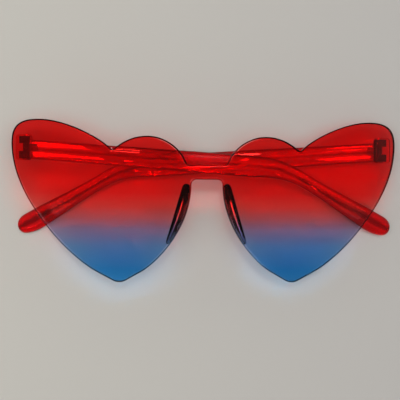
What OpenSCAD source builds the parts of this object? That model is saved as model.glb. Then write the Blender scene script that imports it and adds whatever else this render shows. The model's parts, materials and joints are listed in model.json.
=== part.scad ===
// Heart shaped sunglasses with a one-piece rimless lens, lying folded on a table with the lens up.
// Right is +X, the brow is +Y and up, away from the table, is +Z. The outer folded temple lies flat
// on the table and the front leans on it, so the whole front is tilted by a small computed angle.

/* [Lens] */
// Overall width of the lens
lens_w = 150; // [140:1:165]
// Thickness of the lens
lens_t = 2; // [1.6:0.1:2.6]
// Radius of the front curve of the lens
base_r = 300; // [240:10:500]
// Height of the crown of each outer lobe above the middle line
crown_y = 31.2; // [29:0.2:36]
// Distance of the crown of each outer lobe from the side edge
crown_in = 10; // [8:0.5:13]
// Height of the widest point above the middle line
wide_y = 22.6; // [20:0.2:25]
// Distance of the heart notch from the nose line
notch_x = 36.3; // [34:0.1:39]
// Height of the heart notch above the middle line
notch_y = 19.3; // [17:0.1:21]
// Distance of the crown of each inner lobe from the nose line
inner_x = 22.8; // [21:0.1:25]
// Height of the crown of each inner lobe
inner_y = 24.7; // [23.5:0.1:27]
// Distance of the lower side of each heart from the side edge
flank_in = 14.7; // [13:0.1:17]
// Drop of the lower side of each heart below the middle line, where that distance is taken
flank_y = 11; // [9:0.5:13]
// Distance of each heart's point from the nose line
tip_x = 33.2; // [31:0.1:36]
// Drop of each heart's point below the middle line
tip_y = 31.2; // [30:0.2:35]
// Radius of each heart's point
tip_r = 5.4; // [4:0.1:7]
// Half the length of the bridge's upper edge
bridge_x = 7.6; // [7:0.1:9]
// Height of the bridge's upper edge
bridge_y = 13.8; // [12.5:0.1:15]
// Height of the bridge itself
bridge_h = 5.7; // [4.8:0.1:7]
// Half the width of the nose opening at its top
nose_x = 5.95; // [5:0.05:6.6]
// Corner radius of the nose opening
nose_r = 2; // [1:0.1:3]
// Length over which the sharp inner corners are softened
soft = 1.5; // [0.8:0.1:2]

/* [Nose pads] */
// Depth of a pad behind the lens
pad_depth = 8.5; // [6:0.5:11]
// Width of a pad where it is bonded to the lens, at its top
pad_top = 2.8; // [2:0.1:3.2]
// Width of a pad where it is bonded to the lens, at its bottom
pad_low = 1.3; // [1.2:0.1:2]
// Thickness of a pad at its free edge
pad_edge = 1.2; // [0.8:0.1:1.2]
// Place of the free edge across the bonded width, as a share from the nose
pad_skew = 0.6; // [0.4:0.05:0.75]
// Distance of a pad from the edge of the nose opening
pad_in = 0.3; // [0.1:0.1:1]
// Share of the nose edge that a pad runs along
pad_share = 0.58; // [0.45:0.01:0.7]

/* [Hinges] */
// Distance of each hinge pin from the side edge of the lens
pin_in = 5.4; // [5.2:0.1:7]
// Height of the hinge centre below the widest point
hinge_drop = 2.2; // [0:0.2:4]
// Height of the whole hinge
hinge_h = 8.6; // [7:0.1:9]
// Outside diameter of the knuckles
knuckle_d = 2.8; // [2.4:0.1:3.2]
// Diameter of the hinge screw's shank
screw_d = 1.2; // [1:0.1:1.4]
// Diameter of the screw's head
head_d = 2; // [1.8:0.1:2.3]
// Height of the screw's head
head_h = 0.6; // [0.4:0.1:0.9]
// Thickness of the hinge leaves
leaf_t = 0.8; // [0.6:0.1:1]
// Reach of the front leaf's two tangs, outwards from the pin
tang_out = 2.6; // [2.2:0.1:3]
// Reach of the temple leaf's tang, along the temple from the pin
tang_back = 4.2; // [3:0.1:8]

/* [End pieces] */
// Height of an end piece
end_h = 10; // [9.4:0.2:12]
// Least thickness of an end piece, at its outer corner
end_min = 1.8; // [1.2:0.1:3]
// Overhang of an end piece on the inner side of the pin
end_in = 2.4; // [1.6:0.1:4]
// Corner radius of an end piece
end_r = 1.4; // [0.6:0.1:2.4]

/* [Temples] */
// Thickness of a temple
temple_t = 3; // [2.4:0.1:3.6]
// Height of a temple at the hinge
blade_h = 7.5; // [6.6:0.1:9]
// Height of a temple just before its bend
belly_h = 8.5; // [7:0.1:9.5]
// Height of a temple just after its bend
neck_h = 5.5; // [5:0.1:8]
// Height of a temple near its tip
paddle_h = 8.5; // [7:0.1:10]
// Length from the pin to the start of the bend
straight_l = 92.5; // [85:0.5:105]
// Radius of the bend
bend_r = 40; // [25:1:55]
// Angle of the bend
bend_a = 27; // [20:1:35]
// Length from the end of the bend to the tip
arm_l = 39; // [32:0.5:50]
// Fall of the straight part
fall_a = 3.9; // [2:0.5:6]
// Drop of the temple's middle below the hinge's middle, at the pin
blade_drop = 0.5; // [0:0.1:1.2]
// Chamfer along the temple's edges
edge_c = 0.8; // [0.3:0.1:1.1]
// Length of the rounded tip on its upper side
tip_up = 5; // [4:0.5:9]
// Length of the rounded tip on its lower side
tip_low = 10.5; // [7:0.5:14]

/* [Fits and folding] */
// Angle between an open temple and the plane of the lens
open_a = 94; // [90:0.5:96]
// Angle by which the inner folded temple leans towards the lens
fold_in = 0.6; // [0.3:0.1:0.9]
// Clear gap between the folded temples where they cross
fold_gap = 0.35; // [0.3:0.05:1]
// Radial clearance of the screw in the turning knuckle
run_fit = 0.04; // [0.02:0.01:0.08]
// Radial clearance of the screw in the fixed knuckles
set_fit = 0.02; // [0.01:0.01:0.04]
// Clearance between neighbouring knuckles
knuckle_gap = 0.1; // [0.05:0.01:0.2]
// Clearance round the knuckles and at the stop face
turn_gap = 0.2; // [0.1:0.05:0.3]
// Gap between an inserted leaf and its pocket, and between a bonded piece and the lens
bond_gap = 0.02; // [0.01:0.01:0.05]

/* [Hidden] */
$fn = 64;

// Steps along each curve of an outline or a loft
curve_n = 12;
// Facets that set the checking mesh of the lens's spherical faces
ball_fn = 256;

knuckle_r = knuckle_d / 2;
lug_h = (hinge_h - 2 * knuckle_gap) / 3;
pin_x = lens_w / 2 - pin_in;
hinge_y = wide_y - hinge_drop;
// The pin stands off the end piece's back face and off the temple's inner face by these
back_off = knuckle_r + turn_gap;
face_off = knuckle_r * 0.65;
back_r = base_r - lens_t;
end_out = face_off + temple_t;
// The end piece's thin outer corner sets how far behind the lens the pin lies
pin_z = lens_back(pin_x + end_out, hinge_y + end_h / 2) - end_min - back_off;

function lens_back(x, y) = sqrt(pow(back_r, 2) - x * x - y * y) - base_r;
function mixed(a, b, t) = a + (b - a) * t;
function eased(t) = let (u = min(max(t, 0), 1)) u * u * (3 - 2 * u);
function turned(p, a) = [p.x * cos(a) - p.y * sin(a), p.x * sin(a) + p.y * cos(a)];
function bezier(p, t) =
    pow(1 - t, 3) * p[0] + 3 * pow(1 - t, 2) * t * p[1] + 3 * (1 - t) * t * t * p[2] + pow(t, 3) * p[3];
function bezier_run(p, n) = [for (i = [0:n]) bezier(p, i / n)];
function arc_run(c, r, a, b, n) = [for (i = [0:n]) let (t = mixed(a, b, i / n)) c + r * [cos(t), sin(t)]];
function mirrored(pts) = [for (i = [len(pts) - 1:-1:0]) [-pts[i].x, pts[i].y]];

// A curve from p to q whose two handles are given as shares of the distance between them
function toward(share, angle) = share * [cos(angle), sin(angle)];
function swing(p, leave, q, arrive) = let (d = norm(q - p)) [p, p + d * leave, q + d * arrive, q];

// Outline of the right heart, from the bridge's upper edge round to the nose opening
inner_crown = [inner_x, inner_y];
notch = [notch_x, notch_y];
crown = [lens_w / 2 - crown_in, crown_y];
widest = [lens_w / 2, wide_y];
flank = [lens_w / 2 - flank_in, -flank_y];
flank_slope = 51;
tip_c = [tip_x, tip_r - tip_y];
tip_out_a = 28;
tip_nose_a = 30;
tip_out = tip_c + tip_r * [sin(tip_out_a), -cos(tip_out_a)];
tip_nose = tip_c - tip_r * [sin(tip_nose_a), cos(tip_nose_a)];
cheek = tip_out + 1.2 * tip_r * [cos(tip_out_a), sin(tip_out_a)];
nose_low = tip_nose + 1.4 * tip_r * [-cos(tip_nose_a), sin(tip_nose_a)];
nose_high = [nose_x, bridge_y - bridge_h - nose_r];
notch_in = notch + soft * toward(1, 148);
notch_out = notch + soft * toward(1, 45);
corner = [bridge_x, bridge_y];
corner_out = corner + soft * toward(1, 67);

nose_curve = swing(nose_low, toward(0.21, 180 - tip_nose_a - 4), nose_high, toward(0.42, -90));

right_heart = concat(
    bezier_run([corner - [soft, 0], corner, corner, corner_out], 4),
    bezier_run(swing(corner_out, toward(0.26, 69), inner_crown, toward(0.425, 180)), curve_n),
    bezier_run(swing(inner_crown, toward(0.46, 0), notch_in, toward(0.22, 139)), curve_n),
    bezier_run([notch_in, notch, notch, notch_out], 4),
    bezier_run(swing(notch_out, toward(0.15, 46), crown, toward(0.386, 180)), curve_n),
    bezier_run(swing(crown, toward(0.53, 0), widest, toward(0.47, 90)), curve_n),
    bezier_run(swing(widest, toward(0.35, -90), flank, toward(0.323, flank_slope)), curve_n),
    bezier_run(swing(flank, toward(0.353, flank_slope - 180), cheek, toward(0.274, tip_out_a)), curve_n),
    arc_run(tip_c, tip_r, tip_out_a - 90, -90 - tip_nose_a, curve_n),
    bezier_run(nose_curve, 2 * curve_n),
    arc_run(nose_high - [nose_r, 0], nose_r, 0, 90, 6)
);
heart_outline = concat(right_heart, mirrored(right_heart));

// Centre line of a temple: a straight part, a bend and an arm, by length from the pin
bend_l = bend_r * bend_a * PI / 180;
temple_l = straight_l + bend_l + arm_l;
bend_from = turned([straight_l, 0], -fall_a);
bend_to = bend_from + turned(bend_r * [sin(bend_a), cos(bend_a) - 1], -fall_a);
// The temple narrows from shortly before its bend to shortly after it
narrow_from = straight_l - 0.3 * bend_l;
narrow_to = straight_l + 1.15 * bend_l;

function slope_at(s) = -fall_a - bend_a * min(max((s - straight_l) / bend_l, 0), 1);
function middle_at(s) =
    s < straight_l ? turned([s, 0], -fall_a)
    : s < straight_l + bend_l
        ? let (a = bend_a * (s - straight_l) / bend_l)
            bend_from + turned(bend_r * [sin(a), cos(a) - 1], -fall_a)
    : bend_to + turned([s - straight_l - bend_l, 0], -fall_a - bend_a);

// Height of the temple along it, and how the round tip draws its upper and lower edges in
function height_at(s) =
    s < narrow_from ? mixed(blade_h, belly_h, eased(s / narrow_from))
    : s < narrow_to ? mixed(belly_h, neck_h, eased((s - narrow_from) / (narrow_to - narrow_from)))
    : mixed(neck_h, paddle_h, eased((s - narrow_to) / (temple_l - tip_low / 3 - narrow_to)));
function rounding(s, l) = let (q = min(max((s - temple_l + l) / l, 0), 0.995)) pow(1 - pow(q, 2.2), 1 / 2.2);
function upper_at(s) = height_at(s) / 2 * rounding(s, tip_up);
function lower_at(s) = height_at(s) / 2 * rounding(s, tip_low);

// Ring of a temple's chamfered section at one length, as x back along the temple, y and z
function temple_ring(s) =
    let (
        m = middle_at(s) - [0, blade_drop],
        a = slope_at(s),
        up = upper_at(s),
        low = lower_at(s),
        c = min(edge_c, 0.4 * (up + low)),
        near = -face_off,
        far = -face_off - temple_t,
        section = [
            [up - c, near], [up, near - c], [up, far + c], [up - c, far],
            [c - low, far], [-low, far + c], [-low, near - c], [c - low, near]
        ]
    )
    [for (q = section) let (p = m + turned([0, q.x], a)) [-p.x, p.y, q.y]];

root_s = -back_off - 1;
temple_stations = concat(
    [for (i = [0:6]) mixed(root_s, narrow_from, i / 6)],
    [for (i = [0:curve_n]) straight_l + bend_l * i / curve_n],
    [for (i = [1:6]) mixed(straight_l + bend_l, temple_l - tip_low, i / 6)],
    [for (i = [1:curve_n]) temple_l - tip_low * (1 - sin(90 * i / curve_n))]
);

// Folding. Seen from the front the inner temple's arm leaves the outer temple this far from its pin,
// and there the outer temple has to pass under it, which sets the tilt of the front.
function edge_up(s) = middle_at(s) + turned([0, upper_at(s)], slope_at(s));
function edge_low_y(x) = -x * tan(fall_a) - height_at(x) / 2 / cos(fall_a);
shared_x = max([
    for (i = [0:4 * curve_n])
        let (p = edge_up(mixed(straight_l, temple_l - tip_low, i / (4 * curve_n))))
            if (p.y > edge_low_y(2 * pin_x - p.x)) p.x
]);
cross_l = 2 * pin_x - shared_x - 1;
tilt = asin((temple_t + fold_gap - shared_x * sin(fold_in)) / cross_l);
reach = max([for (s = temple_stations) edge_up(s).x]);

// Place of the origin, under the middle of the folded sunglasses
pin_up = face_off + temple_t;
pin_at_x = pin_x * cos(tilt) + pin_z * sin(tilt);
side_z = sqrt(pow(base_r, 2) - pow(lens_w / 2, 2) - wide_y * wide_y) - base_r;
most_right = lens_w / 2 * cos(tilt) + side_z * sin(tilt);
inner_tip = (reach * cos(fold_in) - pin_x) * cos(tilt) + pin_z * sin(tilt);
most_left = pin_at_x - reach;
mid_x = (max(most_right, inner_tip) + most_left) / 2;
mid_y = (crown_y - tip_y) / 2;

// Stands the front, drawn level in its own frame, on the folded outer temple
module tilted() {
    translate([pin_at_x - mid_x, -mid_y, pin_up])
        rotate([0, tilt, 0])
            translate([-pin_x, 0, -pin_z]) children();
}

// Puts a right hand piece where it is, or mirrors it to the left
module sided(side) {
    mirror([side == "left" ? 1 : 0, 0, 0]) children();
}

// Carries what is drawn about a hinge pin to that pin, level with the hinge's middle
module at_pin() {
    translate([pin_x, hinge_y, pin_z]) children();
}

// Turns a temple about its pin to its folded rest, on the right or on the left
module folded(side) {
    if (side == "right")
        translate([pin_at_x - mid_x, hinge_y - mid_y, pin_up]) children();
    else
        tilted() sided(side) at_pin() rotate([0, fold_in, 0]) children();
}

module ball(r) {
    translate([0, 0, -base_r]) sphere(r, $fn = ball_fn);
}

// Skins a row of closed rings that all have the same number of points
module loft(rings) {
    n = len(rings[0]);
    m = len(rings);
    points = [for (ring = rings) each ring];
    walls = [
        for (i = [0:m - 2], j = [0:n - 1])
            let (a = i * n + j, b = i * n + (j + 1) % n)
                each [[a, b, b + n], [a, b + n, a + n]]
    ];
    ends = [[for (j = [n - 1:-1:0]) j], [for (j = [0:n - 1]) (m - 1) * n + j]];
    polyhedron(points, concat(walls, ends), convexity = 6);
}

// Lug of the front leaf: a knuckle rolled round the pin, whose neck clears the open temple's inner face
module lug(h, bore, neck) {
    difference() {
        union() {
            cylinder(h = h, d = knuckle_d, center = true);
            translate([-knuckle_r, 0, -h / 2]) cube([knuckle_r + face_off - turn_gap, neck, h]);
        }
        cylinder(h = h + 1, d = bore, center = true);
    }
}

// Turns a shape drawn with its axis on Z so that the axis lies along the hinge pin
module upright() {
    rotate([-90, 0, 0]) children();
}

module lens() {
    color([0.78, 0.12, 0.14, 0.75])
        tilted()
            intersection() {
                translate([0, 0, -base_r / 2]) linear_extrude(base_r) polygon(heart_outline);
                difference() {
                    ball(base_r);
                    ball(back_r);
                }
            }
}

// A nose pad runs down behind the nose edge, from a little above the curve's end. Its side toward the
// nose follows the curve, and its outer side is straight.
function pad_at(q) = bezier(nose_curve, 1 - pad_share * q);
function pad_across(q) = let (d = pad_at(q - 0.01) - pad_at(q + 0.01)) [d.y, -d.x] / norm(d);
pad_over = -0.017;
pad_high_end = pad_at(pad_over) + (pad_in + pad_top) * pad_across(pad_over);
pad_low_end = pad_at(1) + (pad_in + pad_low) * pad_across(1);
function pad_width(q) =
    let (n = pad_across(q), run = pad_low_end - pad_high_end)
        cross(pad_high_end - pad_at(q), run) / cross(n, run) - pad_in;

// Section of a nose pad at a share of its length, from its top to its bottom
function pad_ring(q) =
    let (
        p = pad_at(q),
        n = pad_across(q),
        swell = pow(sin(180 * mixed(0.12, 0.94, q)), 0.7),
        root = pad_width(q),
        edge = pad_edge * mixed(0.7, 1, swell),
        mid = root * pad_skew,
        deep = lens_back(p.x, p.y) - pad_depth * swell,
        section = [
            [0, 1], [0, deep * 0.45 - 1], [mid - edge / 2, deep + edge / 2],
            [mid - edge * 0.3, deep + edge * 0.12],
            [mid, deep],
            [mid + edge * 0.3, deep + edge * 0.12],
            [mid + edge / 2, deep + edge / 2], [root, deep * 0.45 - 1], [root, 1]
        ]
    )
    [for (c = section) let (r = p + n * (pad_in + c.x)) [r.x, r.y, c.y]];

module nose_pad(side) {
    color([0.62, 0.06, 0.08])
        tilted()
            sided(side)
                intersection() {
                    loft([for (i = [0:20]) pad_ring(mixed(pad_over, 1, i / 20))]);
                    ball(back_r - bond_gap);
                }
}

// Front leaf drawn flat about the pin: a backbone with a tang at the top and at the bottom
module front_leaf(grow) {
    for (y = [-1, 1])
        translate([(tang_out - knuckle_r) / 2, y * (hinge_h - lug_h) / 2, 0])
            cube([tang_out + knuckle_r + 2 * grow, lug_h + 2 * grow, leaf_t + 2 * grow], center = true);
    translate([(0.6 - knuckle_r) / 2, 0, 0])
        cube([0.6 + knuckle_r + 2 * grow, hinge_h + 2 * grow, leaf_t + 2 * grow], center = true);
}

module endpiece(side) {
    wide = end_out + end_in;
    pts = concat(
        arc_run([end_r - end_in, end_r - end_h / 2], end_r, 180, 270, 6),
        arc_run([end_out - end_r, end_r - end_h / 2], end_r, 270, 360, 6),
        arc_run([end_out - end_r, end_h / 2 - end_r], end_r, 0, 90, 6),
        arc_run([end_r - end_in, end_h / 2 - end_r], end_r, 90, 180, 6)
    );
    color([0.72, 0.08, 0.1])
        tilted()
            sided(side)
                intersection() {
                    at_pin()
                        difference() {
                            translate([0, 0, back_off]) linear_extrude(2 * wide) polygon(pts);
                            translate([0, 0, back_off + leaf_t / 2]) front_leaf(bond_gap);
                        }
                    ball(back_r - bond_gap);
                }
}

module front_hinge(side) {
    color([0.55, 0.55, 0.57])
        tilted()
            sided(side)
                at_pin() {
                    for (y = [-1, 1])
                        translate([0, y * (hinge_h - lug_h) / 2, 0])
                            upright() mirror([0, 1, 0]) lug(lug_h, screw_d + 2 * set_fit, back_off + leaf_t / 2);
                    translate([0, 0, back_off + leaf_t / 2]) front_leaf(0);
                }
}

// Tang of the temple leaf, set in the temple's inner face and running back along it
module tang(grow) {
    translate([-tang_back / 2, 0, -face_off - leaf_t / 2])
        cube([tang_back + 2 * grow, lug_h + 2 * grow, leaf_t + 2 * grow], center = true);
}

module temple_hinge(side) {
    color([0.55, 0.55, 0.57])
        folded(side) {
            difference() {
                union() {
                    upright() cylinder(h = lug_h, d = knuckle_d, center = true);
                    tang(0);
                }
                upright() cylinder(h = hinge_h, d = screw_d + 2 * run_fit, center = true);
            }
        }
}

module hinge_screw(side) {
    color([0.75, 0.75, 0.77])
        tilted()
            sided(side)
                at_pin()
                    upright()
                        difference() {
                            union() {
                                cylinder(h = hinge_h, d = screw_d, center = true);
                                translate([0, 0, hinge_h / 2]) cylinder(h = head_h, d = head_d);
                            }
                            translate([0, 0, hinge_h / 2 + head_h])
                                cube([head_d * 1.2, head_d / 6, head_h], center = true);
                        }
}

module temple(side) {
    color([0.8, 0.1, 0.12, 0.8])
        folded(side)
            difference() {
                loft([for (s = temple_stations) temple_ring(s)]);
                upright() cylinder(h = 3 * blade_h, r = knuckle_r + turn_gap, center = true);
                tang(bond_gap);
                rotate([0, open_a - 90, 0])
                    translate([back_off - 0.05, -blade_h, -2 * end_out])
                        cube([2 * blade_h, 2 * blade_h, 4 * end_out]);
            }
}

lens();
nose_pad("left");  // nose_pad_left
nose_pad("right");  // nose_pad_right
endpiece("left");  // endpiece_left
endpiece("right");  // endpiece_right
front_hinge("left");  // front_hinge_left
front_hinge("right");  // front_hinge_right
temple_hinge("left");  // temple_hinge_left
temple_hinge("right");  // temple_hinge_right
hinge_screw("left");  // hinge_screw_left
hinge_screw("right");  // hinge_screw_right
temple("left");  // temple_left
temple("right");  // temple_right
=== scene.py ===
# Heart shaped sunglasses with a one-piece gradient lens, folded on a pale table with the lens up.
# Right is +X, the brow is +Y and +Z is up from the table, in metres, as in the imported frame. The
# pieces' sizes are written in millimetres, and MM makes them metres where a mesh is put together.
import json
import math
import bmesh
import bpy
import numpy as np
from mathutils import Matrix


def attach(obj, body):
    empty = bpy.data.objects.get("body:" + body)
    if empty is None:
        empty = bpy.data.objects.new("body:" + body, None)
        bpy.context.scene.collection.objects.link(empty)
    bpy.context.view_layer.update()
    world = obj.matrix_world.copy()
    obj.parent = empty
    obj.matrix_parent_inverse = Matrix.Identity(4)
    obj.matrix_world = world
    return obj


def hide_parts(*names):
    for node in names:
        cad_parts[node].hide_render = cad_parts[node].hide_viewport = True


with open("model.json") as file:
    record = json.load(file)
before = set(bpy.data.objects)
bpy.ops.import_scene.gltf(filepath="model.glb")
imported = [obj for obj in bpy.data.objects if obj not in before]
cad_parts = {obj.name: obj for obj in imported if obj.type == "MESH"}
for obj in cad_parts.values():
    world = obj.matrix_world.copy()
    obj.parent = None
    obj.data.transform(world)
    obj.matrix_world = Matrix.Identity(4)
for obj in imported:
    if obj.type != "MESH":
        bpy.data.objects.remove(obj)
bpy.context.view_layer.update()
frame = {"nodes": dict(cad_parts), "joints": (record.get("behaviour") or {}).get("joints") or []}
MM = 0.001

# The table and the light of the room. The sunglasses lie on a plain pale table under a broad soft
# ceiling light with a panel at each side. Small lamps make the gleams on the polished plastic.


class Value:
    """A number or colour in a node tree. Arithmetic on it adds Math nodes to the tree."""

    def __init__(self, nodes, socket):
        self.nodes, self.socket = nodes, socket

    def math(self, operation, a, b):
        return self.nodes.node("ShaderNodeMath", dict(operation=operation), {0: a, 1: b})

    def at_most(self, limit):
        return self.math("MINIMUM", self, limit)

    def __add__(self, other): return self.math("ADD", self, other)
    def __radd__(self, other): return self.math("ADD", other, self)
    def __sub__(self, other): return self.math("SUBTRACT", self, other)
    def __rsub__(self, other): return self.math("SUBTRACT", other, self)
    def __mul__(self, other): return self.math("MULTIPLY", self, other)
    def __rmul__(self, other): return self.math("MULTIPLY", other, self)
    def __abs__(self): return self.math("ABSOLUTE", self, 0.0)


class Nodes:
    """The nodes of a material or of the world, all added by one method."""

    def __init__(self, tree):
        self.tree = tree

    def node(self, kind, settings, inputs, output=0):
        """Adds a node: its settings first, then its sockets' values or links; gives one output."""
        made = self.tree.nodes.new(kind)
        for name, value in settings.items():
            if name == "stops":
                ramp = made.color_ramp
                while len(ramp.elements) < len(value):
                    ramp.elements.new(0.5)
                for stop, (at, tone) in zip(ramp.elements, value):
                    stop.position, stop.color = at, (*tone, 1)
            else:
                setattr(made, name, value)
        for name, value in inputs.items():
            if isinstance(value, Value):
                self.tree.links.new(value.socket, made.inputs[name])
            else:
                made.inputs[name].default_value = value
        return Value(self, made.outputs[output])


class Finish(Nodes):
    """A material round one Principled shader, whose constants are set on its own sockets."""

    def __init__(self, name, **constants):
        self.material = bpy.data.materials.new(name)
        self.material.use_nodes = True
        super().__init__(self.material.node_tree)
        self.shader = self.tree.nodes["Principled BSDF"]
        for socket, value in constants.items():
            self.shader.inputs[socket.replace("_", " ")].default_value = value
        self.place = self.node("ShaderNodeTexCoord", {}, {}, "Object")

    def feed(self, socket, value):
        """Links a value to a socket of the shader."""
        self.tree.links.new(value.socket, self.shader.inputs[socket])

    def along(self, axis):
        """The place on the piece along one axis, in metres."""
        return self.node("ShaderNodeSeparateXYZ", {}, {"Vector": self.place}, axis)

    def mark(self):
        """The number that solid() gave each point of the piece."""
        return self.node("ShaderNodeAttribute", dict(attribute_name="mark"), {}, "Fac")

    def noise(self, scale, detail=3.0, stretch=(1, 1, 1)):
        """Smooth random value about 0.5, at this many grains per metre, drawn out along an axis."""
        place = self.node("ShaderNodeMapping", {}, {"Vector": self.place, "Scale": stretch})
        grain = {"Vector": place, "Scale": scale, "Detail": detail}
        return self.node("ShaderNodeTexNoise", {}, grain)

    def mix(self, share, first, second):
        """A colour between two, by the Mix node's colour sockets: inputs 6 and 7, output 2."""
        first, second = (c if isinstance(c, Value) else (*c, 1) for c in (first, second))
        inputs = {"Factor": share, 6: first, 7: second}
        return self.node("ShaderNodeMix", dict(data_type="RGBA"), inputs, 2)

    def bump(self, height, depth):
        """Turns a height value into the shader's normal, as a relief of this depth in metres."""
        relief = {"Height": height, "Distance": depth, "Strength": 1.0}
        self.feed("Normal", self.node("ShaderNodeBump", {}, relief))


def colour(r, g, b):
    """A colour written as on a screen, 0 to 255, made linear: ((c + 0.055) / 1.055) ** 2.4."""
    c = np.array([r, g, b]) / 255
    return tuple(np.where(c <= 0.04045, c / 12.92, ((c + 0.055) / 1.055) ** 2.4).tolist())


# The table is painted a little darker towards the right, as painted shade where the light falls off
# across it, with a faint mottle
TABLE_LEFT, TABLE_RIGHT = colour(197, 194, 186), colour(183, 180, 176)
TABLE_HALF = 3.0
TABLE_FADE, TABLE_MIDDLE, TABLE_MOTTLE = 5.0, 0.45, 0.1

table_paint = Finish("pale_table", Roughness=0.75, Specular_IOR_Level=0.2)
# Painted shade: the table's colour darkens towards the right
table_shade_share = table_paint.along("X") * TABLE_FADE + TABLE_MIDDLE
table_shade_share = table_shade_share + table_paint.noise(3.0) * TABLE_MOTTLE
table_paint.feed("Base Color", table_paint.mix(table_shade_share, TABLE_LEFT, TABLE_RIGHT))

table_signs = ((-1, -1), (1, -1), (1, 1), (-1, 1))
table_corners = [(x * TABLE_HALF, y * TABLE_HALF, 0) for x, y in table_signs]
table_mesh = bpy.data.meshes.new("table_top")
table_mesh.from_pydata(table_corners, [], [(0, 1, 2, 3)])
table_mesh.materials.append(table_paint.material)
table_top = bpy.data.objects.new("table_top", table_mesh)
bpy.context.collection.objects.link(table_top)


def soft_lamp(name, place, width, height, power, unseen):
    """A flat lamp turned to shine at the middle of the table, unseen by the rays that are named."""
    light = bpy.data.lights.new(name, "AREA")
    light.shape = "RECTANGLE"
    light.size, light.size_y, light.energy = width, height, power
    lamp = bpy.data.objects.new(name, light)
    lamp.location = place
    x, y, z = -np.array(place, float) / np.linalg.norm(place)
    lamp.rotation_euler = (math.acos(-z), 0, math.atan2(x, -y))
    for rays in unseen:
        setattr(lamp, f"visible_{rays}", False)
    bpy.context.collection.objects.link(lamp)


# The broad light of the room, and a small key lamp that isn't seen through the lens, so that the
# sunglasses throw a faint grey shadow
soft_lamp("ceiling", (0, 0.04, 1.2), 0.9, 0.9, 5.2, ["glossy"])
soft_lamp("key", (0.03, 0.22, 1.2), 0.08, 0.08, 2.2, ["glossy", "transmission"])
soft_lamp("panel_left", (-0.50, 0.04, 1.15), 0.4, 0.9, 3.1, ["glossy"])
soft_lamp("panel_right", (0.50, 0.04, 1.15), 0.4, 0.9, 3.1, ["glossy"])

# Small bulbs that only gleam on what is polished
soft_lamp("bulb_left", (-0.30, 0.50, 1.25), 0.03, 0.03, 0.6, ["diffuse"])
soft_lamp("bulb_middle", (0.036, 0.57, 1.12), 0.04, 0.04, 0.25, ["diffuse"])
soft_lamp("bulb_right", (0.34, 0.46, 1.25), 0.03, 0.03, 0.6, ["diffuse"])

# Light that is seen only through the lens, where it makes the plastic behind it gleam
for name, place, width, height, power in (
    ("glint_1", (-0.222, 0.58, 1.12), 0.05, 0.18, 0.9),
    ("glint_2", (-0.110, 0.58, 1.12), 0.08, 0.18, 2.0),
    ("glint_3", (0.010, 0.58, 1.12), 0.20, 0.18, 4.6),
    ("glint_4", (0.210, 0.58, 1.12), 0.10, 0.18, 2.6),
    ("glint_left", (-0.46, 0.46, 1.12), 0.20, 0.14, 3.4),
    ("glint_right", (0.46, 0.46, 1.12), 0.20, 0.14, 3.8),
    ("glow", (0, 0.04, 1.19), 0.9, 0.9, 2.4),
):
    soft_lamp(name, place, width, height, power, ["diffuse", "glossy"])

# The room is brightest a little way up its walls, darker at the floor and straight above the camera
WALL, UPPER_WALL, LOW_WALL = (0.95, 0.93575, 0.912), (0.20, 0.197, 0.192), (0.40, 0.394, 0.384)
ROOM_FLOOR, ROOM_CEILING = (0.30, 0.29, 0.28), (0.12, 0.12, 0.12)

room = bpy.data.worlds.new("room")
bpy.context.scene.world = room
room.use_nodes = True
room_nodes = Nodes(room.node_tree)
direction = room_nodes.node("ShaderNodeTexCoord", {}, {}, "Generated")
upward = room_nodes.node("ShaderNodeSeparateXYZ", {}, {"Vector": direction}, "Z")
shade = room_nodes.node(
    "ShaderNodeValToRGB",
    dict(stops=[
        (0.0, ROOM_FLOOR), (0.12, LOW_WALL), (0.28, WALL), (0.60, WALL), (0.74, UPPER_WALL),
        (1.0, ROOM_CEILING),
    ]),
    {"Fac": upward},
)
background = room.node_tree.nodes["Background"]
background.inputs["Strength"].default_value = 0.50
room.node_tree.links.new(shade.socket, background.inputs["Color"])

# The camera looks straight down from about 0.4 m, as the photograph was taken.
CAMERA_UP = 0.420
CAMERA_AT = (-0.00185, 0.00034)
CAMERA_TURN = 0.0068
FOCUS_PX, PHOTO_PX = 1040.3, 400
SENSOR_MM = 36.0

camera_data = bpy.data.cameras.new("camera")
camera_data.sensor_width = SENSOR_MM
camera_data.lens = SENSOR_MM * FOCUS_PX / PHOTO_PX
camera = bpy.data.objects.new("camera", camera_data)
camera.location = (*CAMERA_AT, CAMERA_UP)
camera.rotation_euler = (0, 0, CAMERA_TURN)
bpy.context.collection.objects.link(camera)
bpy.context.scene.camera = camera
bpy.context.scene.view_settings.view_transform = "Standard"

# The lens: one piece of tinted acrylic 2 mm thick, cut by laser to two joined hearts and formed
# to a shallow dome, with its cut edge polished round. It is dyed red at the brow and blue at the
# points.
LENS_HALF, LENS_T, DOME_R = 75.0, 2.0, 300.0

# Points of the right heart's outline, the angles at which it leaves them, and its small radii
CROWN = np.array([LENS_HALF - 10.0, 31.2])
WIDEST = np.array([LENS_HALF, 22.6])
NOTCH = np.array([36.3, 19.3])
INNER_CROWN = np.array([22.8, 24.7])
FLANK = np.array([LENS_HALF - 14.7, -11.0])
TIP_AT = np.array([33.2, -31.2])
TIP_R = 5.4
TIP_OUT_A, TIP_NOSE_A, FLANK_A = 28.0, 30.0, 51.0
CORNER = np.array([7.6, 13.8])
BRIDGE_H = 5.7
NOSE_X, NOSE_R = 5.95, 2.0
SOFT = 1.5

# The outline's steps: how many to each of its five stretches, and where two curves are divided
COLUMNS = (22, 34, 60, 76, 60)
NOSE_SPLIT, NOTCH_SPLIT = 150, 30

# The hinges behind the lens's outer corners, by which the front is placed
PIN_IN, HINGE_DROP = 5.4, 2.2
KNUCKLE_R, TURN_GAP, TEMPLE_T = 1.4, 0.2, 3.0
END_H, END_MIN = 10.0, 1.8
FACE_OFF = 0.65 * KNUCKLE_R
BACK_OFF = KNUCKLE_R + TURN_GAP


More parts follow.
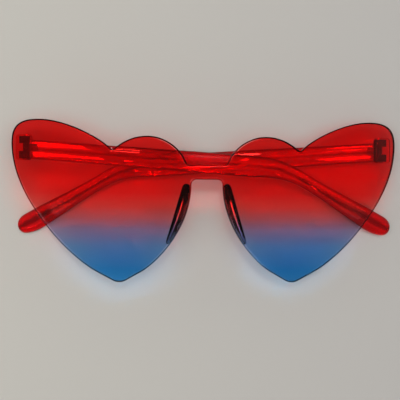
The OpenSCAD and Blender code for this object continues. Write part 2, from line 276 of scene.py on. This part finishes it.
def dome(xy, r):
    """Height of the dome over each point: the sphere of radius r about (0, 0, -DOME_R)."""
    return np.sqrt(r * r - (np.asarray(xy)[..., :2] ** 2).sum(-1)) - DOME_R


def toward(share, angle):
    """A step of that length at that angle, in degrees."""
    return share * np.array([math.cos(math.radians(angle)), math.sin(math.radians(angle))])


def curve_at(p, t):
    """The cubic curve (1-t)^3 p0 + 3 (1-t)^2 t p1 + 3 (1-t) t^2 p2 + t^3 p3 at each t."""
    t = np.asarray(t, float)[:, None]
    start = (1 - t) ** 3 * p[0] + 3 * (1 - t) ** 2 * t * p[1]
    return start + 3 * (1 - t) * t**2 * p[2] + t**3 * p[3]


def bezier(p, n):
    """n points along a cubic curve, from its start to its end."""
    return curve_at(p, np.linspace(0, 1, n))


def swing(p, leave, q, arrive):
    """A cubic curve from p to q whose handles are shares of the distance between them."""
    d = np.linalg.norm(q - p)
    return p, p + d * leave, q + d * arrive, q


def arc(centre, r, a, b, n):
    """n points of the circle about centre from angle a to angle b, in degrees."""
    t = np.radians(np.linspace(a, b, n))[:, None]
    return centre + r * np.hstack([np.cos(t), np.sin(t)])


def respaced(points, n):
    """n points at equal steps of length along a line of points."""
    points = points[np.r_[True, np.linalg.norm(np.diff(points, axis=0), axis=1) > 1e-9]]
    along = np.r_[0, np.cumsum(np.linalg.norm(np.diff(points, axis=0), axis=1))]
    at = np.linspace(0, along[-1], n)
    return np.stack([np.interp(at, along, points[:, k]) for k in (0, 1)], -1)


TIP_C = TIP_AT + [0, TIP_R]
TIP_OUT = TIP_C + TIP_R * toward(1, TIP_OUT_A - 90)
TIP_NOSE = TIP_C + TIP_R * toward(1, -90 - TIP_NOSE_A)
CHEEK = TIP_OUT + 1.2 * TIP_R * toward(1, TIP_OUT_A)
NOSE_LOW = TIP_NOSE + 1.4 * TIP_R * toward(1, 180 - TIP_NOSE_A)
NOSE_HIGH = np.array([NOSE_X, CORNER[1] - BRIDGE_H - NOSE_R])
NOTCH_IN, NOTCH_OUT = NOTCH + toward(SOFT, 148), NOTCH + toward(SOFT, 45)
CORNER_OUT = CORNER + toward(SOFT, 67)
nose_curve = swing(NOSE_LOW, toward(0.21, 176 - TIP_NOSE_A), NOSE_HIGH, toward(0.42, -90))
nose_edge = bezier(nose_curve, 400)[::-1]
notch = bezier([NOTCH_IN, NOTCH, NOTCH, NOTCH_OUT], 60)

# Five stretches below and above, from the nose line out to the widest point, matched in pairs
lower_stretches = [
    np.vstack([[[0, NOSE_HIGH[1] + NOSE_R]], arc(NOSE_HIGH - [NOSE_R, 0], NOSE_R, 90, 0, 40)]),
    nose_edge[:NOSE_SPLIT],
    np.vstack([nose_edge[NOSE_SPLIT - 1 :], arc(TIP_C, TIP_R, -90 - TIP_NOSE_A, -90, 60)]),
    np.vstack([
        arc(TIP_C, TIP_R, -90, TIP_OUT_A - 90, 60),
        bezier(swing(CHEEK, toward(0.274, TIP_OUT_A), FLANK, toward(0.353, FLANK_A - 180)), 200),
    ]),
    bezier(swing(FLANK, toward(0.323, FLANK_A), WIDEST, toward(0.35, -90)), 200),
]
upper_stretches = [
    np.vstack([[[0, CORNER[1]]], bezier([CORNER - [SOFT, 0], CORNER, CORNER, CORNER_OUT], 60)]),
    bezier(swing(CORNER_OUT, toward(0.26, 69), INNER_CROWN, toward(0.425, 180)), 200),
    np.vstack([
        bezier(swing(INNER_CROWN, toward(0.46, 0), NOTCH_IN, toward(0.22, 139)), 200),
        notch[: NOTCH_SPLIT + 1],
    ]),
    np.vstack([
        notch[NOTCH_SPLIT:],
        bezier(swing(NOTCH_OUT, toward(0.15, 46), CROWN, toward(0.386, 180)), 200),
    ]),
    bezier(swing(CROWN, toward(0.53, 0), WIDEST, toward(0.47, 90)), 200),
]


def half_edge(stretches):
    """One edge of the right half as points, with the same number on each pair of stretches."""
    runs = [respaced(s, n + 1)[:-1] for s, n in zip(stretches, COLUMNS)]
    return np.vstack(runs + [stretches[-1][-1:]])


def whole_edge(right):
    """The right half's edge with its mirror image before it, from left to right."""
    return np.vstack([right[:0:-1] * [-1, 1], right])


lower_edge = whole_edge(half_edge(lower_stretches))
upper_edge = whole_edge(half_edge(upper_stretches))
heart_loop = np.vstack([lower_edge[:-1], upper_edge[:0:-1]])


def inward(loop):
    """Unit normals to the left of a closed line: the step from the point before each to the point
    after it, turned by a quarter."""
    step = np.roll(loop, -1, 0) - np.roll(loop, 1, 0)
    step /= np.linalg.norm(step, axis=1)[:, None]
    return np.stack([-step[:, 1], step[:, 0]], -1)


right_pin, left_pin = (
    np.array(next(j for j in frame["joints"] if j["name"] == name)["pos_m"]) / MM
    for name in ("right_temple_hinge", "left_temple_hinge")
)
across = (right_pin - left_pin) / np.linalg.norm(right_pin - left_pin)
upwards = np.array([0.0, 1.0, 0.0])
forward = np.cross(across, upwards)
PIN_X, HINGE_Y = LENS_HALF - PIN_IN, WIDEST[1] - HINGE_DROP
OUTER_FACE = [PIN_X + FACE_OFF + TEMPLE_T, HINGE_Y + END_H / 2]
PIN_Z = dome(OUTER_FACE, DOME_R - LENS_T) - END_MIN - BACK_OFF
front_origin = (right_pin + left_pin) / 2 - HINGE_Y * upwards - PIN_Z * forward


def from_front(p):
    """Points of the front's own frame, in mm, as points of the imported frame, in metres."""
    p = np.asarray(p, float)
    return (front_origin + p[..., :1] * across + p[..., 1:2] * upwards + p[..., 2:3] * forward) * MM


def grid_faces(rows, columns, closed=False, start=0):
    """Quads of a grid of points numbered row by row, joined round its columns if closed."""
    i = np.arange(rows - 1)[:, None] * columns
    j = np.arange(columns if closed else columns - 1)[None, :]
    k = (j + 1) % columns
    quads = np.stack([i + j, i + k, i + columns + k, i + columns + j], -1)
    return start + quads.reshape(-1, 4)


def solid(name, grids, finish, body, replaced):
    """Joins grids of points, each with the marks of its points, into one closed smooth mesh that
    rides on a body and stands for a solid of the frame."""
    points, faces, marks, count = [], [], [], 0
    for grid, closed, mark in grids:
        rows, columns = grid.shape[:2]
        faces.append(grid_faces(rows, columns, closed, count))
        points.append(grid.reshape(-1, 3))
        marks.append(np.broadcast_to(mark, (rows, columns)).ravel())
        count += rows * columns
    mesh = bpy.data.meshes.new(name)
    mesh.from_pydata(np.vstack(points).tolist(), [], np.vstack(faces).tolist())
    stored = mesh.attributes.new("mark", "FLOAT", "POINT")
    stored.data.foreach_set("value", np.hstack(marks).astype(np.float32))
    made = bmesh.new()
    made.from_mesh(mesh)
    bmesh.ops.remove_doubles(made, verts=made.verts, dist=1e-6)
    bmesh.ops.dissolve_degenerate(made, edges=made.edges, dist=1e-7)
    bmesh.ops.holes_fill(made, edges=[e for e in made.edges if e.is_boundary], sides=0)
    bmesh.ops.recalc_face_normals(made, faces=made.faces)
    if made.calc_volume(signed=True) < 0:
        bmesh.ops.reverse_faces(made, faces=made.faces)
    made.to_mesh(mesh)
    made.free()
    mesh.polygons.foreach_set("use_smooth", [True] * len(mesh.polygons))
    mesh.materials.append(finish.material)
    piece = bpy.data.objects.new(name, mesh)
    bpy.context.collection.objects.link(piece)
    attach(piece, body)
    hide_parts(*replaced)


# Rows up each face, the polished round of the edge, and three loops beside it on either face
FACE_ROWS = 36
POLISH_R, POLISH_STEPS = 0.22, 6
FACE_INSET, HIGHLIGHT_INSET, SHADE_INSET = 0.80, 0.62, 0.38


def loop_at(inset):
    """The hearts' outline moved inwards by this much, along its own normals."""
    return heart_loop + inset * inward(heart_loop)


face_loop = loop_at(FACE_INSET)
low_in = face_loop[: len(lower_edge)]
high_in = np.vstack([face_loop[:1], face_loop[: len(lower_edge) - 2 : -1]])


def raised(xy, r):
    """Points of the plane raised to the dome of radius r."""
    return np.concatenate([xy, dome(xy, r)[..., None]], -1)


def lens_face(r):
    """The face over the hearts: (1 - t) low(s) + t high(s) for t from 0 to 1, raised to a dome."""
    t = np.linspace(0, 1, FACE_ROWS)[:, None, None]
    return raised((1 - t) * low_in + t * high_in, r)


def lens_wall():
    """The cut edge: three flat loops out over the front, then outwards by POLISH_R sin(a) and down
    by POLISH_R (1 - cos(a)) for a from 0 to 90 degrees, then the mirror of all this at the back."""
    a = np.radians(np.linspace(0, 90, POLISH_STEPS))
    flat = [face_loop, loop_at(HIGHLIGHT_INSET), loop_at(SHADE_INSET)]
    rings = [raised(xy, DOME_R) for xy in flat]
    for angles, r, sign in ((a, DOME_R, -1), (a[::-1], DOME_R - LENS_T, 1)):
        for angle in angles:
            ring = raised(loop_at(POLISH_R * (1 - math.sin(angle))), r)
            ring[:, 2] += sign * POLISH_R * (1 - math.cos(angle))
            rings.append(ring)
    rings += [raised(xy, DOME_R - LENS_T) for xy in flat[::-1]]
    return np.stack(rings)


# Marks of the lens's points: 0 at the back, -1 on the front, up to 1 on the cut edge, which is
# painted dark as painted shade, and down to -2 on a pale ring just inside it, which is a painted
# highlight
BACK_MARK, FRONT_MARK = 0, -1

# The ring's painted highlight is strongest where the edge faces the nose and the cheeks, and above
# by the bridge. There the edge's painted shade is lighter, and so it is within a few millimetres of
# the nose line.
HIGHLIGHT_FACING, HIGHLIGHT_SPREAD, HIGHLIGHT_LIGHTENS = -0.62, 0.25, 0.55
BRIDGE_REACH, BRIDGE_FADE = 21.0, 4.0
NOSE_REACH, NOSE_FADE, NOSE_SHADE = 5.0, 3.0, 0.5

beside, facing = np.abs(heart_loop[:, 0]), -inward(heart_loop)[:, 1]
edge_highlight = np.exp(-(((facing - HIGHLIGHT_FACING) / HIGHLIGHT_SPREAD) ** 2))
edge_shade = np.clip((beside - NOSE_REACH) / NOSE_FADE, NOSE_SHADE, 1)
edge_shade = edge_shade * (1 - HIGHLIGHT_LIGHTENS * edge_highlight)
bridge_highlight = np.clip((BRIDGE_REACH - beside) / BRIDGE_FADE, 0, 1)
edge_highlight = np.where(facing > 0, bridge_highlight, edge_highlight)
wall = lens_wall()
wall_marks = edge_shade * np.ones((len(wall), 1))
wall_marks[[0, -1]] = FRONT_MARK
wall_marks[[1, -2]] = FRONT_MARK - edge_highlight

# The dye, from the points up to the brow, spread over 70 mm about the middle with a slight waver
DYE = [
    (0.12, (0.046, 0.34, 0.69)),
    (0.25, (0.18, 0.42, 0.74)),
    (0.34, (0.38, 0.40, 0.63)),
    (0.40, (0.62, 0.30, 0.34)),
    (0.46, (0.82, 0.19, 0.17)),
    (0.54, (0.86, 0.076, 0.068)),
    (0.64, (0.92, 0.036, 0.030)),
    (0.80, (0.99, 0.026, 0.023)),
]
DYE_SPREAD, DYE_MIDDLE, DYE_WAVER = 70.0, 0.49, 1.2
# The cut edge's near black painted shade, and the pale painted highlight of the ring inside it
EDGE_SHADE, EDGE_HIGHLIGHT = (0.006, 0.002, 0.003), (1.0, 0.9, 0.88)

lens_tint = Finish(
    "gradient_lens", Roughness=0.0, IOR=1.07, Transmission_Weight=1.0, Coat_Roughness=0.02
)
dyed_at = lens_tint.along("Y") + lens_tint.noise(14.0, 1.0) * (DYE_WAVER * MM)
dyed_at = dyed_at * (1 / (DYE_SPREAD * MM)) + DYE_MIDDLE
tint = lens_tint.node("ShaderNodeValToRGB", dict(stops=DYE), {"Fac": dyed_at})
lens_mark = lens_tint.mark()
# Painted shade on the cut edge, and a painted highlight on the ring just inside it
edge_shaded = lens_tint.mix(lens_mark, tint, EDGE_SHADE)
lens_tint.feed("Base Color", lens_tint.mix(0 - lens_mark - 1, edge_shaded, EDGE_HIGHLIGHT))
lens_coat = abs(lens_mark) * 0.5 - lens_mark * 0.3
lens_tint.feed("Coat Weight", lens_coat.at_most(1.0))

solid(
    "gradient_lens",
    [
        (from_front(lens_face(DOME_R)), False, FRONT_MARK),
        (from_front(lens_face(DOME_R - LENS_T)), False, BACK_MARK),
        (from_front(wall), True, wall_marks),
    ],
    lens_tint, "front", ["lens"],
)

# The temples: moulded from clear red plastic, dyed through and polished. Each is a flat blade that
# bends down behind the ear and widens to a rounded paddle; its root is cut out round the hinge.
STRAIGHT_L, BEND_R, BEND_A, ARM_L, FALL_A = 92.5, 40.0, 27.0, 39.0, 3.9
BLADE_H, BELLY_H, NECK_H, PADDLE_H, BLADE_DROP = 7.5, 8.5, 5.5, 8.5, 0.5
TIP_UP, TIP_LOW, TIP_POWER = 5.0, 10.5, 2.2
ROOT_BACK, ROOT_FRONT = 1.55, 1.7
NEAR_R, FAR_R, CORNER_STEPS = 0.9, 1.0, 7
FOLD_IN, OPEN_A = 0.6, 94.0
BEND_L = BEND_R * math.radians(BEND_A)
TEMPLE_L = STRAIGHT_L + BEND_L + ARM_L
NARROW_FROM, NARROW_TO = STRAIGHT_L - 0.3 * BEND_L, STRAIGHT_L + 1.15 * BEND_L


def middle_at(s):
    """Middle line: straight, then an arc of radius BEND_R, then straight; gives place and angle."""
    fine = np.linspace(-5, TEMPLE_L, 4000)
    a, fine_a = (
        np.radians(-FALL_A - BEND_A * np.clip((at - STRAIGHT_L) / BEND_L, 0, 1)) for at in (s, fine)
    )
    steps = np.stack([np.cos(fine_a), np.sin(fine_a)], -1)
    run = np.cumsum((steps[1:] + steps[:-1]) / 2 * np.diff(fine)[:, None], 0)
    run = np.vstack([[0, 0], run])
    run -= [np.interp(0, fine, run[:, k]) for k in (0, 1)]
    place = np.stack([np.interp(s, fine, run[:, k]) for k in (0, 1)], -1)
    return place, a


def eased(t):
    """The smooth step 3 t^2 - 2 t^3, held at 0 and 1."""
    t = np.clip(t, 0, 1)
    return t * t * (3 - 2 * t)


def height_at(s):
    """Height: eased from blade to belly, from belly to neck, and from neck to paddle."""
    return (
        BLADE_H
        + (BELLY_H - BLADE_H) * eased(s / NARROW_FROM)
        + (NECK_H - BELLY_H) * eased((s - NARROW_FROM) / (NARROW_TO - NARROW_FROM))
        + (PADDLE_H - NECK_H) * eased((s - NARROW_TO) / (TEMPLE_L - TIP_LOW / 3 - NARROW_TO))
    )


def drawn_in(s, length):
    """Rounding of the tip: (1 - q^p)^(1/p), p = TIP_POWER, with q from 0 to 1 over that length."""
    q = np.clip((s - TEMPLE_L + length) / length, 0, 0.998)
    return (1 - q**TIP_POWER) ** (1 / TIP_POWER)


def round_cornered(up, low, near, far):
    """Rings of a rectangle with round corners, as height v and depth w: quarter circles of radius
    c, joined by straight runs (1 - t) end + t start, of which the near face has the most points."""
    v, w = [], []
    for quarter, (top, outer) in enumerate(((1, 1), (0, 1), (0, 0), (1, 0))):
        c = np.minimum(FAR_R if outer else NEAR_R, 0.4 * np.minimum(up + low, far - near))
        centre_v = up - c if top else c - low
        centre_w = far - c if outer else near + c
        turn = np.radians(np.linspace(90 * quarter, 90 * quarter + 90, CORNER_STEPS))
        v.append(centre_v[:, None] + c[:, None] * np.cos(turn))
        w.append(centre_w[:, None] + c[:, None] * np.sin(turn))
    ring_v, ring_w = [], []
    for k in range(4):
        t = np.linspace(0.01, 0.99, 65 if k == 2 else 15)
        ring_v += [v[k], (1 - t) * v[k][:, -1:] + t * v[(k + 1) % 4][:, :1]]
        ring_w += [w[k], (1 - t) * w[k][:, -1:] + t * w[(k + 1) % 4][:, :1]]
    return np.hstack(ring_v), np.hstack(ring_w)


# Relief of the faces. The far one has a crown and a flute, twice over its height. The near one has
# flutes FLUTE_L apart, as a share of its height, and on the arm two fine ridges that grow with it:
# where each lies, from 0 at the top to 1, and its height beyond that growth.
NEAR_CROWN, FAR_CROWN, FAR_FLUTE, FAR_FLUTE_AT = 0.03, 0.15, 0.10, 0.45
NEAR_FLUTE, FLUTE_L, FLUTE_AT, FLUTE_DROP, ARM_CALMER = 0.175, 0.50, 0.22, 0.12, 0.45
RIDGE_W, RIDGE_GROWS = 0.05, 0.014
RIDGES = ((0.18, -0.045), (0.44, 0.070))


def relief(down, height, depth, arm, tall, tip):
    """What is added to the depth: crowns in height^2; on the far face, minus flutes
    1 - sin(2 pi (height - at)); on the near face, flutes 1.1 - sin(wave) + sin(2 wave) / 8, minus
    the arm's ridges exp(-((down - at) / RIDGE_W)^2)."""
    crowns = (NEAR_CROWN * (1 - depth) - FAR_CROWN * depth) * height**2
    far = FAR_FLUTE * depth * (1 - np.sin(2 * math.pi * (height - FAR_FLUTE_AT)))
    wave = 2 * math.pi * (down - FLUTE_AT + FLUTE_DROP * arm) / FLUTE_L
    near = 1.1 - np.sin(wave) + 0.125 * np.sin(2 * wave)
    near = NEAR_FLUTE * (1 - ARM_CALMER * arm) * (1 - depth) * near
    ridges = sum(
        (RIDGE_GROWS * tall + more) * np.exp(-(((down - at) / RIDGE_W) ** 2)) for at, more in RIDGES
    )
    return crowns - far + near - arm * (1 - depth) * ridges * tip


# Where the red is painted deeper, as painted shade: along the top and bottom edges, and in a band
# along the middle, which lies lower and is wider and deeper on the arm, and lies higher again near
# the tip
EDGE_FROM, EDGE_SPREAD = 0.84, 0.12
BAND_AT, BAND_W, BAND_SHADE = 0.46, 0.10, 0.55
ARM_LOWER, ARM_WIDER, ARM_SHADIER = 0.08, 0.03, 1.2
TIP_HIGHER, TIP_FROM, TIP_FADE = 0.10, 24.0, 12.0


def painted_shade_marks(s, down, height, arm):
    """Marks of the temple's painted shade: the greater of (|height| - EDGE_FROM) / EDGE_SPREAD,
    held from
    0 to 1, and the band exp(-((down - middle) / width)^2)."""
    edges = np.clip((np.abs(height) - EDGE_FROM) / EDGE_SPREAD, 0, 1)
    tip = eased((s - TEMPLE_L + TIP_FROM) / TIP_FADE)[:, None]
    middle = BAND_AT + ARM_LOWER * arm - TIP_HIGHER * tip
    band = BAND_SHADE * np.exp(-(((down - middle) / (BAND_W + ARM_WIDER * arm)) ** 2))
    return np.maximum(edges, (1 + ARM_SHADIER * arm) * band)


def temple_rings():
    """Rings along the temple, as length, height and depth from the pin: a rectangle with round
    corners and fluted faces, carried along the middle line. Its near face dips round the knuckle as
    sqrt(BACK_OFF^2 - s^2), its root is cut on a slant to meet the end piece when it is open, and
    its tip is rounded off."""
    s = np.unique(np.hstack([
        np.linspace(-ROOT_BACK, ROOT_FRONT, 40),
        np.linspace(ROOT_FRONT, NARROW_FROM, 50)[1:],
        np.linspace(NARROW_FROM, TEMPLE_L - TIP_LOW, 70)[1:],
        TEMPLE_L - TIP_LOW * (1 - np.sin(np.linspace(0, math.pi / 2, 40)))[1:],
    ]))
    place, a = middle_at(s)
    up, low = height_at(s) / 2 * drawn_in(s, TIP_UP), height_at(s) / 2 * drawn_in(s, TIP_LOW)
    tuck = NEAR_R * (1 - np.sqrt(1 - np.clip((s - TEMPLE_L + NEAR_R) / NEAR_R, 0, 1) ** 2))
    near = np.maximum(FACE_OFF - 0.02, np.sqrt(np.clip(BACK_OFF**2 - s * s, 0, None))) + tuck
    far = FACE_OFF + TEMPLE_T - tuck
    v, w = round_cornered(up, low, near, far)
    tall = (up + low)[:, None]
    depth = (w - near[:, None]) / (far - near)[:, None]
    height = 2 * (v - (up - low)[:, None] / 2) / tall
    down = (1 - height) / 2
    arm = eased((s - STRAIGHT_L) / BEND_L)[:, None]
    w = w + relief(down, height, depth, arm, tall, drawn_in(s, TIP_UP)[:, None])
    x = place[:, :1] - v * np.sin(a)[:, None]
    y = place[:, 1:] + v * np.cos(a)[:, None] - BLADE_DROP
    lean = math.radians(OPEN_A - 90)
    root_x = (w * math.sin(lean) - ROOT_BACK) / math.cos(lean)
    x[0] = root_x[0]
    return np.maximum(x, root_x), y, w, painted_shade_marks(s, down, height, arm)


temple_x, temple_y, temple_w, temple_shade_marks = temple_rings()


def set_at_pin(pin, along, out):
    """Carries the temple's rings to a pin: along the folded temple, up, and away from the lens."""
    spread = temple_x[..., None] * along + temple_y[..., None] * upwards + temple_w[..., None] * out
    return (pin + spread) * MM


# The clear red at random between two tones, and the dark red of its painted shade
RED_LOW, RED_HIGH, RED_SHADE = (0.82, 0.008, 0.014), (0.94, 0.016, 0.024), (0.16, 0.002, 0.004)
SHADE_SHARE, RIPPLE = 0.55, 0.5

red_plastic = Finish(
    "clear_red", Roughness=0.02, IOR=1.49, Transmission_Weight=0.95, Specular_IOR_Level=1.0
)
cloudy_red = red_plastic.mix(red_plastic.noise(60.0, 2.0), RED_LOW, RED_HIGH)
# Painted shade: the red darkens along the edges and in the band
shaded_red = red_plastic.mix(red_plastic.mark() * SHADE_SHARE, cloudy_red, RED_SHADE)
red_plastic.feed("Base Color", shaded_red)
red_plastic.bump(red_plastic.noise(45.0, 1.0, (0.45, 1, 1)), RIPPLE * MM)

# The left temple lies nearer the lens and is folded a little further in
fold = math.radians(FOLD_IN)
left_along = across * math.cos(fold) + forward * math.sin(fold)
left_out = across * math.sin(fold) - forward * math.cos(fold)
for side, pin, along, out in (
    ("right", right_pin, np.array([-1.0, 0, 0]), np.array([0, 0, -1.0])),
    ("left", left_pin, left_along, left_out),
):
    solid(
        f"red_temple_{side}",
        [(set_at_pin(pin, along, out), True, temple_shade_marks)],
        red_plastic, f"{side}_temple", [f"temple_{side}"],
    )

# The nose pads: two clear fins of the same plastic, bonded behind the nose edges of the lens. Each
# leans outwards and ends in a rounded edge that rests on the nose.
PAD_DEPTH, PAD_TOP, PAD_LOW, PAD_EDGE, PAD_SKEW = 8.5, 2.8, 1.3, 1.2, 0.6
PAD_IN, PAD_SHARE, PAD_OVER = 0.3, 0.58, -0.017
PAD_ROUND, PAD_THIN = 24, 0.05
BOND_GAP = 0.02


def column(row):
    """A row of values turned to a column, so that each goes with a whole ring."""
    return row[:, None]


def pad_line(q):
    """Place on the nose curve at a share q of the pad's length, and the direction across it."""
    before, after = (curve_at(nose_curve, 1 - PAD_SHARE * (q + step)) for step in (-0.01, 0.01))
    d = (before - after) / np.linalg.norm(before - after, axis=1)[:, None]
    return curve_at(nose_curve, 1 - PAD_SHARE * q), np.stack([d[:, 1], -d[:, 0]], -1)


# Marks of the pad's points: above 1 on its polished sides, which are painted dark as painted shade;
# on the face that is bonded to the lens, 1 where it is painted dark, a little less on its ruddy
# half by the nose, where the painted shade is lighter; and below 0 on two painted highlights that
# shine: a thin line along the pad and a small spot on it
SIDE_MARK = 2.4
LINE_SHINES, LINE_AT, LINE_W, LINE_FROM, LINE_RISE = 1.9, 0.42, 0.045, 0.2, 12
RUDDY, RUDDY_FROM, RUDDY_RISE, RUDDY_AT, RUDDY_L = 0.30, 0.48, 8, 0.40, 0.15
SPOT_SHINES, SPOT_AT, SPOT_L, SPOT_W = 1.5, (0.48, 0.45), 0.02, 0.25


def pad_marks(q, share):
    """Marks of the bonded face: 1, for painted shade, less the greatest of the line, the ruddy half
    and the spot. The line and the spot are hills exp(-(distance / width)^2), and along the pad the
    ruddy half is exp(-(distance / length)^4)."""
    line = LINE_SHINES * np.exp(-(((share - LINE_AT) / LINE_W) ** 2))
    line = line * np.clip((q - LINE_FROM) * LINE_RISE, 0, 1)
    ruddy = RUDDY * np.clip((share - RUDDY_FROM) * RUDDY_RISE, 0, 1)
    ruddy = ruddy * np.exp(-(((q - RUDDY_AT) / RUDDY_L) ** 4))
    spot = np.exp(-(((q - SPOT_AT[0]) / SPOT_L) ** 2) - ((share - SPOT_AT[1]) / SPOT_W) ** 2)
    return 1 - np.maximum(np.maximum(line, ruddy), SPOT_SHINES * spot)


def pad_rings():
    """Rings down the pad: a root behind the lens, two curved sides, and a half round edge between
    them. Its root reaches from the nose curve to a straight outer line, its depth swells as
    sin(pi (0.12 + 0.82 q))^0.7, its sides flare as u^2 and its ends are drawn in as
    sqrt(1 - |2 t - 1|^PAD_ROUND), with t from 0 to 1 down the pad."""
    q = PAD_OVER + (1 - PAD_OVER) * (1 - np.cos(np.linspace(0, math.pi, 49))) / 2
    p, n = pad_line(q)
    ends, ends_n = pad_line(np.array([PAD_OVER, 1.0]))
    first, last = ends + (PAD_IN + np.array([[PAD_TOP], [PAD_LOW]])) * ends_n
    run = last - first
    root = np.cross(first - p, run) / np.cross(n, run) - PAD_IN
    swell = np.sin(math.pi * (0.12 + 0.82 * q)) ** 0.7
    t = (q - PAD_OVER) / (1 - PAD_OVER)
    end = np.maximum(np.sqrt(np.clip(1 - np.abs(2 * t - 1) ** PAD_ROUND, 0, 1)), PAD_THIN)
    round_r = PAD_EDGE * (0.7 + 0.3 * swell) / 2
    middle = root * PAD_SKEW
    back = dome(p, DOME_R - LENS_T)
    edge_z = back - PAD_DEPTH * swell * end + round_r
    u = np.linspace(0, 1, 14)
    half_turn = np.radians(np.linspace(180, 360, 13))[1:-1]
    x = np.hstack([
        u**2 * column(middle - round_r),
        column(middle) + column(round_r) * np.cos(half_turn),
        column(root) + u[::-1] ** 2 * column(middle + round_r - root),
    ])
    z = np.hstack([
        column(back) + u * column(edge_z - back),
        column(edge_z) + column(round_r) * np.sin(half_turn),
        column(back) + u[::-1] * column(edge_z - back),
    ])
    x = column(middle) + (x - column(middle)) * column(end)
    xy = p[:, None, :] + n[:, None, :] * (PAD_IN + x[..., None])
    under_lens = dome(xy, DOME_R - LENS_T) - BOND_GAP
    z[:, [0, -1]] = under_lens[:, [0, -1]]
    sides = np.concatenate([xy, np.minimum(z, under_lens)[..., None]], -1)
    share = np.linspace(0, 1, 25)[1:-1, None]
    bonded = sides[:, -1:] * (1 - share) + sides[:, :1] * share
    bonded[..., 2] = dome(bonded, DOME_R - LENS_T) - BOND_GAP
    marks = [np.full(x.shape, SIDE_MARK), pad_marks(column(q), share.T)]
    return np.concatenate([sides, bonded], 1), np.concatenate(marks, 1)


# The pads' pale painted highlight and their near black painted shade
PAD_HIGHLIGHT, PAD_SHADE = (1.0, 0.62, 0.56), (0.010, 0.001, 0.001)

# The pads are clear red plastic. Their near black is painted shade, and where the marks fall below
# 0 Metallic makes the pale line and spot shine as painted highlights.
shaded_pad_plastic = Finish(
    "pad_red_painted_shade", Roughness=0.04, IOR=1.04, Transmission_Weight=0.9, Coat_Roughness=0.05
)
pad_mark = shaded_pad_plastic.mark()
pad_shade = pad_mark + shaded_pad_plastic.noise(200.0) * 0.06 - 0.03
shaded_pad_plastic.feed("Base Color", shaded_pad_plastic.mix(pad_shade, PAD_HIGHLIGHT, PAD_SHADE))
shaded_pad_plastic.feed("Coat Weight", abs(pad_mark - 1) * 0.5)
shaded_pad_plastic.feed("Metallic", 0 - pad_mark)
pad_points, pad_point_marks = pad_rings()
for side, flip in (("right", 1), ("left", -1)):
    solid(
        f"nose_fin_{side}",
        [(from_front(pad_points * [flip, 1, 1]), True, pad_point_marks)],
        shaded_pad_plastic, "front", [f"nose_pad_{side}"],
    )

# The end pieces: two small clear red blocks bonded behind the lens's outer corners, into which the
# front hinge leaves are moulded. Their edges are rounded.
END_IN, END_R, END_EDGE, END_TUCK = 2.4, 1.4, 0.5, 0.15
END_OUT = FACE_OFF + TEMPLE_T


def end_block():
    """Rings up the block: a round cornered outline drawn in by END_EDGE (1 - sin(a)) and lifted by
    END_EDGE (1 - cos(a)) at its back edge, then straight up to the dome that it is bonded to, where
    it is drawn in by END_TUCK."""
    low_y, high_y = HINGE_Y - END_H / 2 + END_R, HINGE_Y + END_H / 2 - END_R
    x0, x1 = PIN_X - END_IN + END_R, PIN_X + END_OUT - END_R
    corners = ((x1, low_y, -90), (x1, high_y, 0), (x0, high_y, 90), (x0, low_y, 180))

    def outline(inset):
        return np.vstack([
            arc(np.array([x, y]), END_R - inset, turn, turn + 90, 9) for x, y, turn in corners
        ])

    rings = []
    for a in np.radians(np.linspace(0, 90, 6)):
        loop = outline(END_EDGE * (1 - math.sin(a)))
        z = PIN_Z + BACK_OFF - 0.02 + END_EDGE * (1 - math.cos(a))
        rings.append(np.column_stack([loop, np.full(len(loop), z)]))
    for inset in (0, END_TUCK):
        loop = outline(inset)
        z = dome(loop, DOME_R - LENS_T) - BOND_GAP - (END_TUCK - inset)
        rings.append(np.column_stack([loop, z]))
    return np.stack(rings)


BLOCK_LOW, BLOCK_HIGH = (0.97, 0.10, 0.11), (0.99, 0.16, 0.17)

clear_block = Finish("clear_block", Roughness=0.02, IOR=1.12, Transmission_Weight=0.98)
cloudy_block = clear_block.mix(clear_block.noise(300.0, 2.0), BLOCK_LOW, BLOCK_HIGH)
clear_block.feed("Base Color", cloudy_block)
end_points = end_block()
for side, flip in (("right", 1), ("left", -1)):
    solid(
        f"end_block_{side}",
        [(from_front(end_points * [flip, 1, 1]), True, 0)],
        clear_block, "front", [f"endpiece_{side}"],
    )

# The hinges: stamped leaves with rolled knuckles and a slotted screw, in black plated metal.
# Handling has brightened the plating a little in fine streaks.
PLATE_DARK, PLATE_WORN = (0.010, 0.010, 0.011), (0.035, 0.034, 0.033)
LEAF_DARK, LEAF_WORN = (0.09, 0.088, 0.086), (0.16, 0.156, 0.15)
STEEL_DARK, STEEL_BRIGHT = (0.42, 0.41, 0.40), (0.62, 0.61, 0.60)
STREAK_SCALE, STREAK_DETAIL, STREAK_DRAWN = 900.0, 3.0, (0.2, 1, 1)

hinge_metal = Finish("black_plating", Metallic=1.0)
streaks = hinge_metal.noise(STREAK_SCALE, STREAK_DETAIL, STREAK_DRAWN)
hinge_metal.feed("Base Color", hinge_metal.mix(streaks, PLATE_DARK, PLATE_WORN))
hinge_metal.feed("Roughness", streaks * 0.25 + 0.22)

screw_steel = Finish("steel", Metallic=1.0)
steel_tone = screw_steel.mix(screw_steel.noise(1500.0), STEEL_DARK, STEEL_BRIGHT)
screw_steel.feed("Base Color", steel_tone)
screw_steel.feed("Roughness", screw_steel.noise(1200.0) * 0.3 + 0.15)

leaf_metal = Finish("dull_plating", Metallic=1.0, Roughness=0.5)
leaf_streaks = leaf_metal.noise(STREAK_SCALE, STREAK_DETAIL, STREAK_DRAWN)
leaf_metal.feed("Base Color", leaf_metal.mix(leaf_streaks, LEAF_DARK, LEAF_WORN))

for side in ("left", "right"):
    for node, finish in (
        (f"front_hinge_{side}", hinge_metal),
        (f"temple_hinge_{side}", leaf_metal),
        (f"hinge_screw_{side}", screw_steel),
    ):
        frame["nodes"][node].data.materials.clear()
        frame["nodes"][node].data.materials.append(finish.material)
